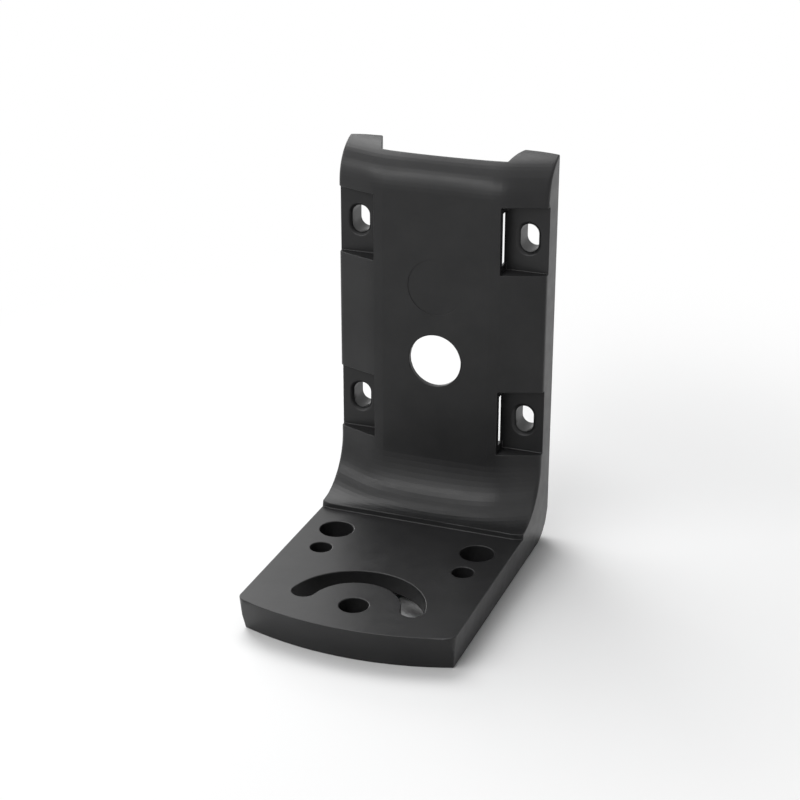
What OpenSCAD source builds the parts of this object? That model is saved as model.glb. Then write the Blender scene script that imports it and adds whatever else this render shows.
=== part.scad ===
// Camera wall and pole mount.
// One black die-cast bracket: an upright plate with a shelf for the camera at its foot.
// Frame: X across the bracket, Y into the wall (the wall is the plane y = 0), Z up.
// The shelf points to -Y and its rim stands on the plane z = 0.

/* [Overall] */
// Width of the whole bracket
body_w = 80; // [70:1:110]
// Height of the whole bracket
body_h = 151.5; // [140:0.5:190]
// Reach from the wall to the middle of the shelf's front edge
reach = 115.6; // [105:0.1:150]

/* [Upright plate] */
// Depth of the upright from the wall to the middle of its bulged front
plate_d = 19.7; // [19:0.1:22]
// Plan radius of the bulged front
front_r = 110; // [105:1:160]
// Thickness of the web between the two rails
web_t = 2.4; // [2:0.1:3]
// Radius of the rounded top front edge
top_round = 15.5; // [12:0.5:16]
// Radius of the rounded lower rear edge
heel_round = 8.5; // [4:0.5:9]

/* [Pole seat] */
// Width of the pole seat at the wall plane
seat_w = 54.4; // [50:0.1:56]
// Width of the pole seat at its floor
seat_floor_w = 46.6; // [44:0.1:47]
// Depth of the pole seat at the middle of its curved floor
seat_d = 12; // [11:0.1:12.5]
// Thickness of the cross ribs behind the web
cross_t = 2.6; // [2:0.1:3.5]

/* [Sweep and step] */
// Radius of the hollow sweep between the upright and the shelf
sweep_r = 18.5; // [14:0.5:20]
// Distance from the wall to the step at the foot of the sweep
step_y = 33; // [31:0.5:40]
// Height of the step above the camera face, at the sides
step_h = 2.1; // [1:0.1:4]

/* [Shelf] */
// Height of the camera face above the lower rim
shelf_h = 13.4; // [11:0.1:20]
// Plan radius of the shelf's front edge
nose_r = 115; // [90:1:160]
// How far the front face leans back at the rim
nose_lean = 3.7; // [1:0.1:6]
// How far each side face leans in at the rim
side_lean = 1.4; // [0.5:0.1:3]
// Radius of the two front corners
corner_r = 4.5; // [2:0.5:8]
// Thickness of the shelf's top wall
shelf_wall = 6.8; // [4:0.1:7.5]
// Thickness of the rim wall
rim_wall = 3.2; // [2.5:0.1:5]
// Thickness of the ribs under the shelf
rib_t = 2.4; // [1.6:0.1:4]

/* [Camera holes] */
// Diameter of the pivot hole for the camera screw
pivot_d = 10.4; // [6:0.1:12]
// Distance of the pivot from the wall
pivot_y = 99; // [90:0.5:102]
// Centre line radius of the arc slot
arc_r = 20.5; // [17:0.5:24]
// Width of the arc slot
arc_w = 8.6; // [5:0.1:10]
// Half of the angle that the arc slot spans
arc_half = 80; // [50:1:85]
// Diameter of the two large holes
large_d = 12.6; // [8:0.1:14]
// Distance between the two large holes
large_gap = 55; // [44:0.5:58]
// Distance of the large holes from the wall
large_y = 48; // [44:0.5:52]
// Diameter of the two small holes
small_d = 8; // [4:0.1:10]
// Distance between the two small holes
small_gap = 54.6; // [44:0.5:58]
// Distance of the small holes from the wall
small_y = 63.4; // [58:0.5:66]

/* [Wall slots and strap pockets] */
// Distance between the left and right wall slots
slot_gap_x = 64.8; // [64:0.1:68]
// Distance between the upper and lower wall slots
slot_gap_z = 70.4; // [68:0.1:74]
// Height of the lower wall slots above the rim
slot_low_z = 51.5; // [50:0.5:53]
// Width of a wall slot
slot_w = 6.8; // [4.5:0.1:7]
// Height of a wall slot
slot_h = 10.4; // [9:0.1:12]
// Width of the flare round the mouth of a wall slot
slot_flare = 1.1; // [0.5:0.1:1.2]
// Depth of the strap ledges above the wall plane
ledge_y = 10.3; // [10:0.1:10.8]
// Height of a strap pocket
pocket_h = 25; // [22:0.5:27]
// Distance of a pocket's inner wall from the middle of the bracket
pocket_x = 24.2; // [24:0.1:25]
// Height of the strap slot inside a pocket
strap_h = 19.5; // [14:0.5:21]

/* [Cable entry] */
// Diameter of the cable hole
cable_d = 20; // [16:0.1:21]
// Height of the cable hole above the rim
cable_z = 73.4; // [73:0.1:75]
// Diameter of the blind second cable entry
knock_d = 21.4; // [18:0.1:22]
// Height of the second cable entry above the rim
knock_z = 102; // [98:0.5:103]
// Depth of the second cable entry at the middle of the front
knock_in = 0.4; // [0.3:0.1:1]

/* [Hidden] */
$fn = 96;
eps = 0.02;
half_w = body_w / 2;
axis_y = front_r - plate_d;
nose_axis_y = nose_r - reach;
slot_x = slot_gap_x / 2;
slot_high_z = slot_low_z + slot_gap_z;
slot_levels = [slot_low_z, slot_high_z];
foot_z = shelf_h + step_h;
cavity_h = shelf_h - shelf_wall;
throat_y = plate_d - web_t;
cavity_back = throat_y + 2.6;
bay_floor_z = foot_z + 1.5;
boss_t = 2.6;

// Levels of the cross ribs behind the web, from the lowest up.
low_rib_z = slot_low_z - (strap_h + cross_t) / 2 - 0.5;
mid_rib_z = (cable_z + cable_d / 2 + knock_z - knock_d / 2) / 2;
high_rib_z = slot_high_z + (strap_h + cross_t) / 2 + 0.5;

bracket();

// The whole casting.
module bracket() {
  color([0.13, 0.13, 0.14])
  difference() {
    union() {
      front_shell();
      shelf();
    }
    pole_seat();
    web_bays();
    heel_cut();
    for (side = [-1, 1]) {
      for (z = slot_levels) {
        strap_pocket(side, z);
        wall_slot(side, z);
      }
    }
    cable_entry();
    second_entry();
    camera_holes();
  }
}

// Bulged upright and hollow sweep: one turned profile, cut to the width and to the step.
module front_shell() {
  intersection() {
    translate([0, axis_y, 0])
    rotate_extrude() {
      upright_profile(0);
      sweep_profile();
    }
    translate([-half_w, -step_y, shelf_h - 1])
    cube([body_w, step_y, body_h]);
  }
}

// Profile of the bulged upright, rounded at the top; inset gives the inner side of the web.
module upright_profile(inset) {
  square([front_r - inset, body_h - top_round]);
  square([front_r - top_round, body_h - inset]);
  translate([front_r - top_round, body_h - top_round])
  circle(r = top_round - inset);
}

// Profile of the hollow sweep at the foot of the upright.
module sweep_profile() {
  difference() {
    translate([front_r - 3, 0])
    square([sweep_r + 3, foot_z + sweep_r]);
    translate([front_r + sweep_r, foot_z + sweep_r])
    circle(r = sweep_r);
  }
}

// Shelf with its hollow, ribs and bosses.
module shelf() {
  difference() {
    shelf_block();
    shelf_cavity();
  }
  intersection() {
    shelf_ribs();
    shelf_block();
  }
}

// Shelf block: drafted sides, coned front and two rounded front corners.
module shelf_block() {
  difference() {
    intersection() {
      rotate([90, 0, 0])
      linear_extrude(height = reach + 10)
      polygon([
        [-half_w + side_lean, 0],
        [half_w - side_lean, 0],
        [half_w, shelf_h],
        [-half_w, shelf_h]
      ]);
      translate([0, nose_axis_y, 0])
      cylinder(h = shelf_h, r1 = nose_r - nose_lean, r2 = nose_r);
    }
    for (side = [-1, 1]) corner_cut(side);
  }
}

// Takes the sharp corner off one side of the shelf's front.
module corner_cut(side) {
  nose_y = nose_axis_y - sqrt(nose_r * nose_r - half_w * half_w);
  cx = half_w - corner_r + 0.15;
  cy = nose_y + corner_r - 1.2;
  difference() {
    translate([side > 0 ? cx : -cx - 20, cy - 20, -1])
    cube([20, 20, shelf_h + 2]);
    translate([side * cx, cy, -1])
    cylinder(h = shelf_h + 2, r1 = corner_r - 1.4, r2 = corner_r);
  }
}

// Hollow under the shelf, open below.
module shelf_cavity() {
  inner = half_w - side_lean - rim_wall;
  intersection() {
    translate([-inner, -reach, -1])
    cube([2 * inner, reach - cavity_back, cavity_h + 1]);
    translate([0, nose_axis_y, -1])
    cylinder(h = cavity_h + 1, r = nose_r - nose_lean - rim_wall);
  }
}

// Ribs and screw bosses inside the hollow.
module shelf_ribs() {
  translate([-rib_t / 2, -pivot_y, 0])
  cube([rib_t, pivot_y - cavity_back + 1, cavity_h + 1]);
  translate([-half_w, -step_y - rib_t / 2, 0])
  cube([body_w, rib_t, cavity_h + 1]);
  translate([0, -pivot_y, 0])
  cylinder(h = cavity_h + 1, d = pivot_d + 2 * boss_t);
  for (side = [-1, 1]) {
    translate([side * large_gap / 2, -large_y, 0])
    cylinder(h = cavity_h + 1, d = large_d + 2 * boss_t);
    translate([side * small_gap / 2, -small_y, 0])
    cylinder(h = cavity_h + 1, d = small_d + 2 * boss_t);
  }
}

// Seat for a pole: open at both ends, with leaning sides and a floor that follows the bulge.
module pole_seat() {
  translate([0, 0, -1])
  linear_extrude(height = body_h + 2)
  intersection() {
    polygon([
      [-seat_w / 2, 2],
      [seat_w / 2, 2],
      [seat_w / 2, 0],
      [seat_floor_w / 2, -ledge_y],
      [seat_floor_w / 2, -seat_d - 1],
      [-seat_floor_w / 2, -seat_d - 1],
      [-seat_floor_w / 2, -ledge_y],
      [-seat_w / 2, 0]
    ]);
    translate([0, axis_y])
    circle(r = front_r - plate_d + seat_d);
  }
}

// Bays behind the thin web, between the cross ribs; the top one follows the rounded edge.
module web_bays() {
  difference() {
    intersection() {
      translate([0, axis_y, 0])
      rotate_extrude()
      upright_profile(web_t);
      translate([-seat_floor_w / 2, -plate_d, bay_floor_z])
      cube([seat_floor_w, plate_d - 4, body_h]);
    }
    for (z = [low_rib_z, mid_rib_z, high_rib_z]) {
      translate([-half_w, -plate_d - 1, z - cross_t / 2])
      cube([body_w, plate_d + 2, cross_t]);
    }
  }
}

// Rounds the lower rear edge.
module heel_cut() {
  translate([-half_w - 5, 0, 0])
  rotate([90, 0, 90])
  linear_extrude(height = body_w + 10)
  difference() {
    translate([-heel_round, -1])
    square([heel_round + 1, heel_round + 1]);
    translate([-heel_round, heel_round])
    circle(r = heel_round);
  }
}

// Pocket in a side rail, open to the side, with the strap slot at its inner end.
module strap_pocket(side, z) {
  outer = half_w + 5;
  translate([side > 0 ? pocket_x : -outer, -plate_d - 5, z - pocket_h / 2])
  cube([outer - pocket_x, plate_d + 5 - ledge_y, pocket_h]);
  translate([0, 0, z - strap_h / 2])
  linear_extrude(height = strap_h)
  intersection() {
    translate([side > 0 ? pocket_x - 4 : -pocket_x - 1, -plate_d])
    square([5, plate_d - ledge_y]);
    translate([0, axis_y])
    circle(r = front_r - web_t);
  }
}

// Upright slot for a wall screw, flared at its mouth.
module wall_slot(side, z) {
  translate([side * slot_x, 0, z])
  rotate([90, 0, 0]) {
    translate([0, 0, -1])
    slot_body(plate_d, slot_w / 2, slot_w / 2);
    translate([0, 0, ledge_y - slot_flare])
    slot_body(slot_flare + eps, slot_w / 2, slot_w / 2 + slot_flare);
  }
}

// Slot shape made of two round ends and a middle block.
module slot_body(h, r_in, r_out) {
  off = slot_h / 2 - slot_w / 2;
  for (s = [-1, 1]) {
    translate([0, s * off, 0])
    cylinder(h = h, r1 = r_in, r2 = r_out);
  }
  translate([0, off, 0])
  rotate([90, 0, 0])
  linear_extrude(height = 2 * off)
  polygon([[-r_in, 0], [r_in, 0], [r_out, h], [-r_out, h]]);
}

// Cable hole through the web.
module cable_entry() {
  translate([0, 0, cable_z])
  rotate([90, 0, 0])
  cylinder(h = plate_d + 2, d = cable_d);
}

// Shallow round recess that marks the second cable entry.
module second_entry() {
  difference() {
    translate([0, -plate_d + 3, knock_z])
    rotate([90, 0, 0])
    cylinder(h = 6, d = knock_d);
    translate([0, axis_y, knock_z - knock_d])
    cylinder(h = 2 * knock_d, r = front_r - knock_in);
  }
}

// Holes through the camera face.
module camera_holes() {
  translate([0, -pivot_y, -1])
  cylinder(h = shelf_h + 2, d = pivot_d);
  for (side = [-1, 1]) {
    translate([side * large_gap / 2, -large_y, -1])
    cylinder(h = shelf_h + 2, d = large_d);
    translate([side * small_gap / 2, -small_y, -1])
    cylinder(h = shelf_h + 2, d = small_d);
  }
  arc_slot();
}

// Arc slot round the pivot, with round ends.
module arc_slot() {
  reach_out = 2 * arc_r;
  translate([0, -pivot_y, -1])
  linear_extrude(height = shelf_h + 2)
  intersection() {
    difference() {
      circle(r = arc_r + arc_w / 2);
      circle(r = arc_r - arc_w / 2);
    }
    polygon([
      [0, 0],
      [reach_out * sin(arc_half), reach_out * cos(arc_half)],
      [reach_out, 2 * reach_out],
      [-reach_out, 2 * reach_out],
      [-reach_out * sin(arc_half), reach_out * cos(arc_half)]
    ]);
  }
  for (side = [-1, 1]) {
    translate([side * arc_r * sin(arc_half), arc_r * cos(arc_half) - pivot_y, -1])
    cylinder(h = shelf_h + 2, d = arc_w);
  }
}
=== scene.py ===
"""Visual model of a camera wall and pole mount: one black, powder-coated die casting.

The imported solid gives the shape. This script gives the casting its softened edges and its coat,
and sets the studio, the lamps and the camera.
"""

from __future__ import annotations

import logging
import math
from dataclasses import dataclass
from enum import Enum

import bmesh
import bpy
from mathutils import Matrix, Vector

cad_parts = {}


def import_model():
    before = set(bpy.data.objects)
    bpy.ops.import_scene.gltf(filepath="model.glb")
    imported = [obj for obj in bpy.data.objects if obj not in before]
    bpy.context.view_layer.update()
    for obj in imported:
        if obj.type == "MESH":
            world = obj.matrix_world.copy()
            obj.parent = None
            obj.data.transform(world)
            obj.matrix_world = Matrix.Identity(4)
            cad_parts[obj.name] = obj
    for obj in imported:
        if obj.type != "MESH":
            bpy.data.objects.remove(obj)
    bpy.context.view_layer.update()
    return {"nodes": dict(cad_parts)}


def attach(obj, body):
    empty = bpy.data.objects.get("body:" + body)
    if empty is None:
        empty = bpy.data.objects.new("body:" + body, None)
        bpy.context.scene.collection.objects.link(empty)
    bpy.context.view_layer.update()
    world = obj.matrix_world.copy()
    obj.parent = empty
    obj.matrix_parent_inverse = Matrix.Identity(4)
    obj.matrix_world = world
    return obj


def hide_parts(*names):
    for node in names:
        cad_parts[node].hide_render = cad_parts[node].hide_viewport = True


LOG = logging.getLogger("camera_mount")
MM = 0.001

Colour = tuple[float, float, float]
Point = tuple[float, float, float]


class Socket(Enum):
    """Names of the shader sockets that the finishes set."""

    COLOUR = "Base Color"
    ROUGHNESS = "Roughness"
    METALLIC = "Metallic"
    SPECULAR = "Specular IOR Level"
    COAT = "Coat Weight"
    COAT_ROUGHNESS = "Coat Roughness"
    NORMAL = "Normal"


@dataclass(frozen=True)
class CoatFinish:
    """A powder coat over a casting.

    Lengths are in metres, colours are linear.
    """

    name: str
    dark: Colour
    light: Colour
    roughness_low: float
    roughness_high: float
    specular: float
    mottle_size: float
    peel_size: float
    peel_height: float
    grain_size: float
    grain_height: float


@dataclass(frozen=True)
class FloorFinish:
    """The plain pale floor of the studio."""

    name: str
    colour: Colour
    roughness: float
    white_from: float
    white_full: float


BLACK_COAT = CoatFinish(
    name="black_powder_coat",
    dark=(0.012, 0.012, 0.0125),
    light=(0.017, 0.017, 0.0175),
    roughness_low=0.33,
    roughness_high=0.39,
    specular=0.27,
    mottle_size=0.018,
    peel_size=0.0016,
    peel_height=0.000012,
    grain_size=0.00035,
    grain_height=0.000006,
)

PALE_FLOOR = FloorFinish(
    name="pale_floor",
    colour=(0.92, 0.92, 0.92),
    roughness=0.9,
    white_from=0.11,
    white_full=0.32,
)


class NodeChain:
    """Small helper that adds shader nodes and links them."""

    def __init__(self, owner: bpy.types.Material | bpy.types.World) -> None:
        """Empties the owner's tree.

        Args:
            owner: the material or world whose node tree is filled.
        """
        owner.use_nodes = True
        self.tree = owner.node_tree
        self.tree.nodes.clear()

    def add(self, kind: str, label: str, **values: float | str | bool) -> bpy.types.Node:
        """Adds one node.

        Args:
            kind: Blender's name of the node type.
            label: what the node is for.
            **values: attributes to set on the node.

        Returns:
            The new node.
        """
        node = self.tree.nodes.new(kind)
        node.label = label
        for key, value in values.items():
            setattr(node, key, value)
        return node

    def link(self, source: bpy.types.NodeSocket, target: bpy.types.NodeSocket) -> None:
        """Joins an output to an input.

        Args:
            source: the output socket.
            target: the input socket.
        """
        self.tree.links.new(source, target)

    def noise(self, vector: bpy.types.NodeSocket, size: float, detail: float, label: str) -> bpy.types.Node:
        """Adds a noise pattern of a real size.

        Args:
            vector: the coordinates, in metres.
            size: width of one feature, in metres.
            detail: octaves of the noise.
            label: what the noise is for.

        Returns:
            The noise node.
        """
        node = self.add("ShaderNodeTexNoise", label)
        node.inputs["Scale"].default_value = 1.0 / size
        node.inputs["Detail"].default_value = detail
        node.inputs["Roughness"].default_value = 0.55
        self.link(vector, node.inputs["Vector"])
        return node


    def seen(self) -> bpy.types.NodeSocket:
        """Adds the test for rays that show the surroundings: to the camera, in gloss and through.

        Returns:
            An output that is one for such rays and zero for others.
        """
        path = self.add("ShaderNodeLightPath", "kind of ray")
        either = self.add("ShaderNodeMath", "camera or gloss", operation="MAXIMUM")
        self.link(path.outputs["Is Camera Ray"], either.inputs[0])
        self.link(path.outputs["Is Glossy Ray"], either.inputs[1])
        shown = self.add("ShaderNodeMath", "or passed through", operation="MAXIMUM")
        self.link(either.outputs["Value"], shown.inputs[0])
        self.link(path.outputs["Is Transmission Ray"], shown.inputs[1])
        return shown.outputs["Value"]


def make_coat(finish: CoatFinish) -> bpy.types.Material:
    """Builds the material of the powder coat.

    Args:
        finish: the coat's values.

    Returns:
        The material.
    """
    material = bpy.data.materials.new(finish.name)
    chain = NodeChain(material)
    out = chain.add("ShaderNodeOutputMaterial", "output")
    shader = chain.add("ShaderNodeBsdfPrincipled", "coat")
    shader.inputs[Socket.SPECULAR.value].default_value = finish.specular
    chain.link(shader.outputs["BSDF"], out.inputs["Surface"])
    where = chain.add("ShaderNodeTexCoord", "object coordinates").outputs["Object"]

    mottle = chain.noise(where, finish.mottle_size, 4.0, "slow change of tone")
    tone = chain.add("ShaderNodeValToRGB", "tone")
    tone.color_ramp.elements[0].position = 0.35
    tone.color_ramp.elements[0].color = (*finish.dark, 1.0)
    tone.color_ramp.elements[1].position = 0.65
    tone.color_ramp.elements[1].color = (*finish.light, 1.0)
    chain.link(mottle.outputs["Fac"], tone.inputs["Fac"])
    chain.link(tone.outputs["Color"], shader.inputs[Socket.COLOUR.value])

    sheen = chain.noise(where, finish.peel_size * 3.0, 3.0, "change of sheen")
    rough = chain.add("ShaderNodeMapRange", "roughness")
    rough.inputs["From Min"].default_value = 0.3
    rough.inputs["From Max"].default_value = 0.7
    rough.inputs["To Min"].default_value = finish.roughness_low
    rough.inputs["To Max"].default_value = finish.roughness_high
    chain.link(sheen.outputs["Fac"], rough.inputs["Value"])
    chain.link(rough.outputs["Result"], shader.inputs[Socket.ROUGHNESS.value])

    peel = chain.noise(where, finish.peel_size, 1.0, "orange peel of the coat")
    grain = chain.noise(where, finish.grain_size, 1.0, "fine grain of the powder")
    low = chain.add("ShaderNodeBump", "peel relief")
    low.inputs["Strength"].default_value = 1.0
    low.inputs["Distance"].default_value = finish.peel_height
    chain.link(peel.outputs["Fac"], low.inputs["Height"])
    fine = chain.add("ShaderNodeBump", "grain relief")
    fine.inputs["Strength"].default_value = 1.0
    fine.inputs["Distance"].default_value = finish.grain_height
    chain.link(grain.outputs["Fac"], fine.inputs["Height"])
    chain.link(low.outputs["Normal"], fine.inputs["Normal"])
    chain.link(fine.outputs["Normal"], shader.inputs[Socket.NORMAL.value])
    return material


def make_floor_material(finish: FloorFinish) -> bpy.types.Material:
    """Builds the material of the studio floor.

    Args:
        finish: the floor's values.

    Returns:
        The material.
    """
    material = bpy.data.materials.new(finish.name)
    chain = NodeChain(material)
    out = chain.add("ShaderNodeOutputMaterial", "output")
    shader = chain.add("ShaderNodeBsdfPrincipled", "floor")
    shader.inputs[Socket.COLOUR.value].default_value = (*finish.colour, 1.0)
    shader.inputs[Socket.ROUGHNESS.value].default_value = finish.roughness
    white = chain.add("ShaderNodeEmission", "white of the backdrop")
    where = chain.add("ShaderNodeTexCoord", "object coordinates").outputs["Object"]
    away = chain.add("ShaderNodeVectorMath", "distance from the object", operation="LENGTH")
    chain.link(where, away.inputs[0])
    far = chain.add("ShaderNodeMapRange", "runs out into the backdrop", interpolation_type="SMOOTHSTEP")
    far.inputs["From Min"].default_value = finish.white_from
    far.inputs["From Max"].default_value = finish.white_full
    chain.link(away.outputs["Value"], far.inputs["Value"])
    share = chain.add("ShaderNodeMath", "white where it is seen", operation="MULTIPLY")
    chain.link(far.outputs["Result"], share.inputs[0])
    chain.link(chain.seen(), share.inputs[1])
    mix = chain.add("ShaderNodeMixShader", "floor with its white")
    chain.link(share.outputs["Value"], mix.inputs["Fac"])
    chain.link(shader.outputs["BSDF"], mix.inputs[1])
    chain.link(white.outputs["Emission"], mix.inputs[2])
    chain.link(mix.outputs["Shader"], out.inputs["Surface"])
    return material


@dataclass(frozen=True)
class TurnedFront:
    """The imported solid's front: one turned profile, in metres."""

    axis_y: float = 90.3 * MM
    bulge_radius: float = 110.0 * MM
    height: float = 151.5 * MM
    top_radius: float = 15.5 * MM
    hollow_radius: float = 18.5 * MM
    foot_z: float = 15.5 * MM
    step_y: float = -33.0 * MM
    recess_depth: float = 0.4 * MM
    near: float = 0.15 * MM

    @property
    def top_z(self) -> float:
        """Height at which the rounded top starts."""
        return self.height - self.top_radius

    @property
    def hollow_z(self) -> float:
        """Height at which the hollow sweep starts."""
        return self.foot_z + self.hollow_radius

    def radius(self, point: Vector) -> float:
        """Distance from the turning axis."""
        return math.hypot(point.x, point.y - self.axis_y)

    def plan(self, x: float) -> float:
        """Depth of the bulged front at a place across the width."""
        return self.axis_y - math.sqrt(self.bulge_radius**2 - x**2)

    def gap(self, point: Vector) -> float:
        """Distance of a point from the skin, measured inwards.

        Args:
            point: a place on or in the casting.
        """
        reach = self.radius(point)
        if point.z >= self.top_z:
            centre = self.bulge_radius - self.top_radius
            return self.top_radius - math.hypot(max(reach - centre, 0.0), point.z - self.top_z)
        if point.z >= self.hollow_z:
            return self.bulge_radius - reach
        centre = self.bulge_radius + self.hollow_radius
        if reach > centre:
            return self.foot_z - point.z
        return math.hypot(centre - reach, self.hollow_z - point.z) - self.hollow_radius

    def nearest(self, point: Vector) -> Vector:
        """Returns the nearest place on the skin, straight out from the turning axis.

        Args:
            point: a place close to the skin.
        """
        reach = self.radius(point)
        level = point.z
        if level >= self.top_z:
            centre = self.bulge_radius - self.top_radius
            scale = self.top_radius / math.hypot(max(reach - centre, 0.0), level - self.top_z)
            new_reach = centre + (reach - centre) * scale
            level = self.top_z + (level - self.top_z) * scale
        elif level >= self.hollow_z:
            new_reach = self.bulge_radius
        else:
            centre = self.bulge_radius + self.hollow_radius
            if reach > centre:
                return Vector((point.x, point.y, self.foot_z))
            scale = self.hollow_radius / math.hypot(centre - reach, self.hollow_z - level)
            new_reach = centre - (centre - reach) * scale
            level = self.hollow_z - (self.hollow_z - level) * scale
        y = self.axis_y - math.sqrt(max(new_reach**2 - point.x**2, 0.0))
        return Vector((point.x, y, level))

    def travel(self, point: Vector) -> float:
        """Share of the way down the hollow sweep, from the upright to the step.

        Args:
            point: a place on the sweep.
        """
        centre = self.bulge_radius + self.hollow_radius
        edge = math.hypot(point.x, self.step_y - self.axis_y)
        quarter = self.hollow_radius * math.pi / 2
        if edge > centre:
            whole = quarter + edge - centre
        else:
            whole = self.hollow_radius * math.acos((centre - edge) / self.hollow_radius)
        reach = self.radius(point)
        if reach > centre:
            gone = quarter + reach - centre
        else:
            gone = self.hollow_radius * math.atan2(self.hollow_z - point.z, centre - reach)
        return min(max(gone / whole, 0.0), 1.0)


@dataclass(frozen=True)
class CastFront:
    """The real front: a flat middle, two leaning flanks and a sweep onto a straight step."""

    depth: float = 18.3 * MM
    flat_half: float = 19.0 * MM
    blend_radius: float = 24.0 * MM
    flank_angle: float = 20.0
    half_width: float = 40.0 * MM
    side_radius: float = 2.0 * MM
    sweep_height: float = 20.5 * MM
    settle_z: float = 39.0 * MM
    ledge_y: float = -10.35 * MM
    ear_z: float = 148.0 * MM
    recess_depth: float = 0.28 * MM
    skin_depth: float = 1.0 * MM

    def plan(self, x: float) -> float:
        """Depth of the front at a place across the width.

        Args:
            x: the place, from the middle.

        Returns:
            The depth, negative towards the camera face.
        """
        away = abs(x)
        if away <= self.flat_half:
            return -self.depth
        lean = math.radians(self.flank_angle)
        blend_end = self.flat_half + self.blend_radius * math.sin(lean)
        if away <= blend_end:
            across = away - self.flat_half
            return self.blend_radius - self.depth - math.sqrt(self.blend_radius**2 - across**2)
        start = self.blend_radius * (1 - math.cos(lean)) - self.depth
        centre = self.half_width - self.side_radius
        round_start = centre + self.side_radius * math.sin(lean)
        if away <= round_start:
            return start + (away - blend_end) * math.tan(lean)
        centre_y = start + (round_start - blend_end) * math.tan(lean) + self.side_radius * math.cos(lean)
        across = min(away - centre, self.side_radius)
        return centre_y - math.sqrt(self.side_radius**2 - across**2)


class FrontSkin:
    """Moves the casting's skin from the turned form of the solid onto the real front."""

    def __init__(self, turned: TurnedFront, cast: CastFront) -> None:
        """Keeps both forms.

        Args:
            turned: the form that the solid has.
            cast: the form that the casting gets.
        """
        self.turned = turned
        self.cast = cast

    def apply(self, work: bmesh.types.BMesh) -> None:
        """Cuts the skin finely enough to bend and moves its points.

        Args:
            work: the casting's mesh.
        """
        for place, normal in self._cuts():
            self._cut(work, Vector(place), Vector(normal))
        moved = [self._moved(vert.co) for vert in work.verts]
        for vert, place in zip(work.verts, moved):
            vert.co = place

    def _cuts(self) -> list[tuple[Point, Point]]:
        """Lists the planes that cut the skin: upright ones across it and level ones up it."""
        cast = self.cast
        lean = math.radians(cast.flank_angle)
        blend_end = cast.flat_half + cast.blend_radius * math.sin(lean)
        centre = cast.half_width - cast.side_radius
        places = [cast.flat_half + (blend_end - cast.flat_half) * k / 5 for k in range(6)]
        places += [blend_end + (centre - blend_end) * k / 4 for k in range(1, 5)]
        turns = [lean + (math.pi / 2 - lean) * k / 6 for k in range(6)]
        places += [centre + cast.side_radius * math.sin(turn) for turn in turns]
        across = [((side * x, 0.0, 0.0), (1.0, 0.0, 0.0)) for x in places for side in (-1, 1)]
        steps = [math.radians(5.0 * k) for k in range(18)]
        turned = self.turned
        levels = [turned.top_z + turned.top_radius * math.sin(step) for step in steps]
        levels += [turned.hollow_z - turned.hollow_radius * math.sin(step) for step in steps]
        levels += [(turned.hollow_z + cast.settle_z) / 2, cast.settle_z]
        return across + [((0.0, 0.0, z), (0.0, 0.0, 1.0)) for z in levels]

    def _cut(self, work: bmesh.types.BMesh, place: Vector, normal: Vector) -> None:
        """Cuts the faces of the skin along one plane.

        Args:
            work: the casting's mesh.
            place: a point on the plane.
            normal: the plane's normal.
        """
        faces = [face for face in work.faces if all(self._on_skin(vert.co) for vert in face.verts)]
        edges = {edge for face in faces for edge in face.edges}
        verts = {vert for face in faces for vert in face.verts}
        bmesh.ops.bisect_plane(
            work, geom=[*verts, *edges, *faces], dist=1e-6, plane_co=place, plane_no=normal
        )

    def _on_skin(self, point: Vector) -> bool:
        """Says whether a point lies on the skin or on the floor of the blind entry."""
        turned = self.turned
        in_reach = point.y > turned.step_y - turned.near and point.z > turned.foot_z - turned.near
        return in_reach and -turned.near < turned.gap(point) < turned.recess_depth + turned.near

    def _moved(self, point: Vector) -> Vector:
        """Returns where a point of the solid lies on the real casting.

        Args:
            point: a point of the solid's mesh.
        """
        turned = self.turned
        cast = self.cast
        if point.z < turned.foot_z - turned.near or point.y < turned.step_y - turned.near:
            return point.copy()
        gap = turned.gap(point)
        if -turned.near < gap < cast.skin_depth and point.z < turned.top_z:
            place = turned.nearest(point)
            inward = point - place
            if abs(gap - turned.recess_depth) < turned.near and point.z > cast.settle_z:
                inward *= cast.recess_depth / turned.recess_depth
            if abs(gap) < turned.near:
                inward = Vector((0.0, 0.0, 0.0))
            return self._skin_place(place) + inward
        new_plan = cast.plan(point.x)
        old_plan = turned.plan(point.x)
        fade = min(max((cast.ear_z - point.z) / (cast.ear_z - turned.top_z), 0.0), 1.0)
        still = cast.ledge_y * fade
        share = min(max((point.y - still) / (old_plan - still), 0.0), 1.0)
        return point + Vector((0.0, (new_plan - old_plan) * share, 0.0))

    def _skin_place(self, place: Vector) -> Vector:
        """Returns where a point of the turned skin lies on the real front.

        Args:
            place: a point on the skin of the upright or of the sweep.
        """
        turned = self.turned
        cast = self.cast
        new_plan = cast.plan(place.x)
        top = turned.foot_z + cast.sweep_height
        if place.z < turned.hollow_z:
            turn = turned.travel(place) * math.pi / 2
            reach = new_plan - turned.step_y
            level = top - cast.sweep_height * math.sin(turn)
            return Vector((place.x, turned.step_y + reach * math.cos(turn), level))
        rise = top - turned.hollow_z
        share = max(cast.settle_z - place.z, 0.0) / (cast.settle_z - turned.hollow_z)
        return Vector((place.x, new_plan, place.z + rise * share))


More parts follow.
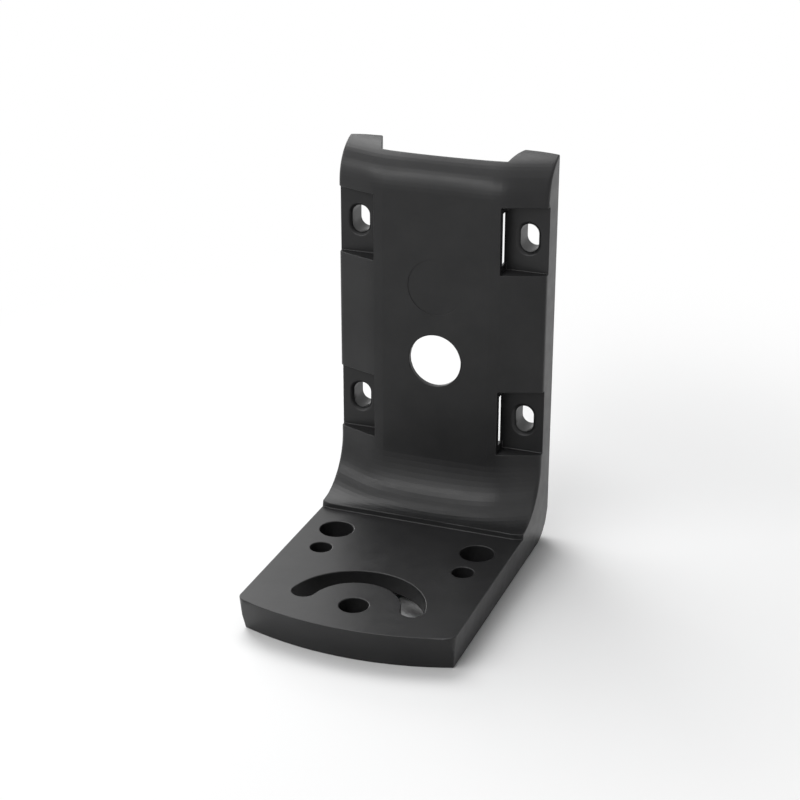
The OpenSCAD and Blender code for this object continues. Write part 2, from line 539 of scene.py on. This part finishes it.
@dataclass(frozen=True)
class CastingShape:
    """How the casting's edges are softened, in metres and degrees."""

    node: str = "bracket"
    piece: str = "coated_bracket"
    slot: str = "coated_casting"
    merge: float = 2e-6
    flat_angle: float = 0.3
    edge_angle: float = 24.0
    edge_radius: float = 0.36 * MM
    edge_steps: int = 3
    sharp_angle: float = 50.0
    narrow_share: float = 0.25
    shortest_edge: float = 0.2 * MM
    corner_x: float = 34.5 * MM
    corner_y: float = -105.0 * MM
    corner_sliver: float = 0.5 * MM
    close: float = 0.04 * MM
    entry_z: float = 102.0 * MM
    entry_radius: float = 10.9 * MM
    entry_back: float = 15.0 * MM
    slit_inner: float = 22.5 * MM
    slit_outer: float = 24.5 * MM
    slit_half: float = 10.5 * MM
    slit_levels: tuple[float, float] = (51.5 * MM, 121.9 * MM)
    half_width: float = 40.0 * MM
    shelf_height: float = 13.4 * MM
    side_lean: float = 1.4 * MM
    lip_height: float = 1.1 * MM


class Casting:
    """The bracket itself: the solid's surface with softened edges."""

    def __init__(self, shape: CastingShape, skin: FrontSkin, finish: CoatFinish) -> None:
        """Keeps the values.

        Args:
            shape: sizes of the softened edges.
            skin: the form of the front.
            finish: the coat.
        """
        self.shape = shape
        self.skin = skin
        self.finish = finish
        self.obj: bpy.types.Object | None = None

    def build(self, source: bpy.types.Object) -> bpy.types.Object:
        """Copies the solid's surface, joins its triangles and rounds its edges.

        Args:
            source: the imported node.

        Returns:
            The finished piece.
        """
        mesh = self._joined_mesh(source)
        piece = bpy.data.objects.new(self.shape.piece, mesh)
        bpy.context.scene.collection.objects.link(piece)
        self._round_edges(piece)
        self._bend_front(piece)
        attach(piece, "root")
        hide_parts(self.shape.node)
        self.obj = piece
        return piece

    def dress(self) -> None:
        """Gives the casting its coat."""
        if self.obj is None:
            raise RuntimeError("build() comes before dress()")
        self.obj.data.materials.clear()
        self.obj.data.materials.append(make_coat(self.finish))

    def _joined_mesh(self, source: bpy.types.Object) -> bpy.types.Mesh:
        """Returns one closed mesh with flat areas as single faces."""
        mesh = bpy.data.meshes.new(self.shape.piece)
        work = bmesh.new()
        work.from_mesh(source.data)
        bmesh.ops.remove_doubles(work, verts=work.verts, dist=self.shape.merge)
        bmesh.ops.dissolve_degenerate(work, edges=work.edges, dist=self.shape.merge)
        bmesh.ops.dissolve_limit(
            work,
            angle_limit=math.radians(self.shape.flat_angle),
            verts=work.verts,
            edges=work.edges,
        )
        self._trim_lip(work)
        self._drop_slivers(work)
        bmesh.ops.recalc_face_normals(work, faces=work.faces)
        self._weigh_edges(work)
        work.to_mesh(mesh)
        work.free()
        return mesh

    def _weigh_edges(self, work: bmesh.types.BMesh) -> None:
        """Says how much each edge is rounded; the shallow edges of the blind entry get least.

        Args:
            work: the casting's mesh.
        """
        shape = self.shape
        weights = work.edges.layers.float.new("bevel_weight_edge")
        sharp = math.radians(shape.edge_angle)
        for edge in work.edges:
            if len(edge.link_faces) != 2 or edge.calc_face_angle() < sharp:
                continue
            narrow = all(self._is_narrow(vert.co) for vert in edge.verts)
            edge[weights] = shape.narrow_share if narrow else 1.0

    def _is_narrow(self, point: Vector) -> bool:
        """Says whether a point lies in the shallow blind entry or in a thin strap slit."""
        shape = self.shape
        beside = math.hypot(point.x, point.z - shape.entry_z)
        in_entry = beside < shape.entry_radius and -shape.entry_back > point.y
        in_slit = shape.slit_inner < abs(point.x) < shape.slit_outer and any(
            abs(point.z - level) < shape.slit_half for level in shape.slit_levels
        )
        return in_entry or in_slit

    def _drop_slivers(self, work: bmesh.types.BMesh) -> None:
        """Closes up edges too short to be rounded, and the slivers where the front corners start.

        Args:
            work: the casting's mesh.
        """
        shape = self.shape
        bmesh.ops.dissolve_degenerate(work, edges=work.edges, dist=shape.shortest_edge)
        corner = [
            edge
            for edge in work.edges
            if all(abs(v.co.x) > shape.corner_x and v.co.y < shape.corner_y for v in edge.verts)
        ]
        bmesh.ops.dissolve_degenerate(work, edges=corner, dist=shape.corner_sliver)

    def _trim_lip(self, work: bmesh.types.BMesh) -> None:
        """Draws the upright's foot in to the leaning sides of the shelf, where it stands proud.

        Args:
            work: the casting's mesh.
        """
        shape = self.shape
        for vert in work.verts:
            if vert.co.z > shape.shelf_height or vert.co.z < shape.shelf_height - shape.lip_height:
                continue
            side = shape.half_width - shape.side_lean * (1 - vert.co.z / shape.shelf_height)
            vert.co.x = min(max(vert.co.x, -side), side)

    def _apply(self, piece: bpy.types.Object) -> None:
        """Turns the piece's modifiers into its mesh.

        Args:
            piece: the object with its modifiers.
        """
        graph = bpy.context.evaluated_depsgraph_get()
        mesh = bpy.data.meshes.new_from_object(piece.evaluated_get(graph))
        piece.modifiers.clear()
        piece.data = mesh
        mesh.name = self.shape.piece

    def _round_edges(self, piece: bpy.types.Object) -> None:
        """Rounds the sharp edges of the solid.

        Args:
            piece: the casting.
        """
        bevel = piece.modifiers.new("edges", "BEVEL")
        bevel.width = self.shape.edge_radius
        bevel.segments = self.shape.edge_steps
        bevel.limit_method = "WEIGHT"
        bevel.miter_outer = "MITER_ARC"
        bevel.use_clamp_overlap = False
        self._apply(piece)

    def _bend_front(self, piece: bpy.types.Object) -> None:
        """Gives the front its real form and smooth shading.

        Args:
            piece: the casting.
        """
        work = bmesh.new()
        work.from_mesh(piece.data)
        bmesh.ops.remove_doubles(work, verts=work.verts, dist=self.shape.close)
        self.skin.apply(work)
        work.to_mesh(piece.data)
        work.free()
        piece.data.shade_smooth()
        piece.data.set_sharp_from_angle(angle=math.radians(self.shape.sharp_angle))
        shading = piece.modifiers.new("shading", "WEIGHTED_NORMAL")
        shading.mode = "FACE_AREA"
        shading.weight = 50
        shading.keep_sharp = True
        self._apply(piece)


@dataclass(frozen=True)
class CameraPose:
    """Where the photograph was taken from, in the row frame."""

    location: Point = (0.2147, -0.6197, 0.3308)
    azimuth: float = 20.79
    elevation: float = 23.15
    roll: float = 0.0
    lens: float = 84.1
    sensor: float = 36.0


@dataclass(frozen=True)
class Lamp:
    """A soft area lamp that looks at the object.

    The azimuth is 0 in front of the camera face, 90 on its right and 180 behind the wall plane.
    """

    name: str
    azimuth: float
    elevation: float
    width: float
    height: float
    power: float

    def offset(self, distance: float) -> Vector:
        """Returns the lamp's place, from the point that it looks at.

        Args:
            distance: how far away the lamp stands.
        """
        azimuth = math.radians(self.azimuth)
        elevation = math.radians(self.elevation)
        level = math.cos(elevation)
        side = Vector((math.sin(azimuth) * level, -math.cos(azimuth) * level, math.sin(elevation)))
        return side * distance


class Studio:
    """Floor, background, lamps and camera."""

    LAMPS: tuple[Lamp, ...] = (
        Lamp("front_strip", 330.0, 36.0, 1.5, 0.22, 7.8),
        Lamp("high_back_left", 225.0, 60.0, 0.9, 0.9, 9.5),
        Lamp("top", 0.0, 89.0, 1.4, 1.4, 4.0),
        Lamp("low_left", 270.0, 18.0, 0.5, 0.5, 1.0),
        Lamp("low_back_left", 225.0, 18.0, 0.5, 0.5, 3.4),
        Lamp("low_front_left", 340.0, 18.0, 0.8, 0.4, 0.8),
    )
    LAMP_DISTANCE: float = 1.2
    LAMP_TARGET: Point = (0.0, -0.05, 0.06)
    FILL_COLOUR: Colour = (0.95, 0.97, 1.0)
    FILL_STRENGTH: float = 0.05

    def __init__(self, pose: CameraPose, floor: FloorFinish) -> None:
        """Keeps the values.

        Args:
            pose: the camera's place.
            floor: the floor's finish.
        """
        self.pose = pose
        self.floor = floor

    def build(self) -> None:
        """Makes the floor, the background, the lamps and the camera."""
        self._floor()
        self._world()
        for lamp in self.LAMPS:
            self._lamp(lamp)
        self._camera()

    def _floor(self) -> None:
        mesh = bpy.data.meshes.new("studio_floor")
        half = 3.0
        corners = [(-half, -half, 0.0), (half, -half, 0.0), (half, half, 0.0), (-half, half, 0.0)]
        mesh.from_pydata(corners, [], [(0, 1, 2, 3)])
        mesh.materials.append(make_floor_material(self.floor))
        floor = bpy.data.objects.new("studio_floor", mesh)
        bpy.context.scene.collection.objects.link(floor)

    def _world(self) -> None:
        world = bpy.data.worlds.new("studio")
        bpy.context.scene.world = world
        chain = NodeChain(world)
        out = chain.add("ShaderNodeOutputWorld", "output")
        light = chain.add("ShaderNodeBackground", "fill light")
        light.inputs["Color"].default_value = (*self.FILL_COLOUR, 1.0)
        light.inputs["Strength"].default_value = self.FILL_STRENGTH
        white = chain.add("ShaderNodeBackground", "white backdrop")
        white.inputs["Color"].default_value = (1.0, 1.0, 1.0, 1.0)
        mix = chain.add("ShaderNodeMixShader", "backdrop where it is seen")
        chain.link(chain.seen(), mix.inputs["Fac"])
        chain.link(light.outputs["Background"], mix.inputs[1])
        chain.link(white.outputs["Background"], mix.inputs[2])
        chain.link(mix.outputs["Shader"], out.inputs["Surface"])

    def _lamp(self, lamp: Lamp) -> None:
        data = bpy.data.lights.new(lamp.name, "AREA")
        data.shape = "RECTANGLE"
        data.size = lamp.width
        data.size_y = lamp.height
        data.energy = lamp.power
        obj = bpy.data.objects.new(lamp.name, data)
        offset = lamp.offset(self.LAMP_DISTANCE)
        obj.location = Vector(self.LAMP_TARGET) + offset
        obj.rotation_euler = (-offset).to_track_quat("-Z", "Y").to_euler()
        bpy.context.scene.collection.objects.link(obj)

    def _camera(self) -> None:
        azimuth = math.radians(self.pose.azimuth)
        elevation = math.radians(self.pose.elevation)
        back = Vector(
            (
                math.sin(azimuth) * math.cos(elevation),
                -math.cos(azimuth) * math.cos(elevation),
                math.sin(elevation),
            )
        )
        right = Vector((math.cos(azimuth), math.sin(azimuth), 0.0))
        up = back.cross(right)
        turn = Matrix((right, up, back)).transposed()
        turn = turn @ Matrix.Rotation(math.radians(self.pose.roll), 3, "Z")
        data = bpy.data.cameras.new("camera")
        data.lens = self.pose.lens
        data.sensor_width = self.pose.sensor
        data.sensor_fit = "HORIZONTAL"
        data.clip_start = 0.01
        data.clip_end = 50.0
        camera = bpy.data.objects.new("camera", data)
        camera.matrix_world = Matrix.Translation(Vector(self.pose.location)) @ turn.to_4x4()
        bpy.context.scene.collection.objects.link(camera)
        bpy.context.scene.camera = camera


def main() -> None:
    """Builds the frame, the casting and the studio, in that order."""
    logging.basicConfig(level=logging.INFO, format="%(name)s: %(message)s")
    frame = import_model()

    casting = Casting(CastingShape(), FrontSkin(TurnedFront(), CastFront()), BLACK_COAT)
    piece = casting.build(frame["nodes"]["bracket"])
    casting.dress()
    LOG.info("casting: %d faces", len(piece.data.polygons))

    Studio(CameraPose(), PALE_FLOOR).build()
    bpy.context.scene.view_settings.view_transform = "Standard"


if __name__ == "__main__":
    main()
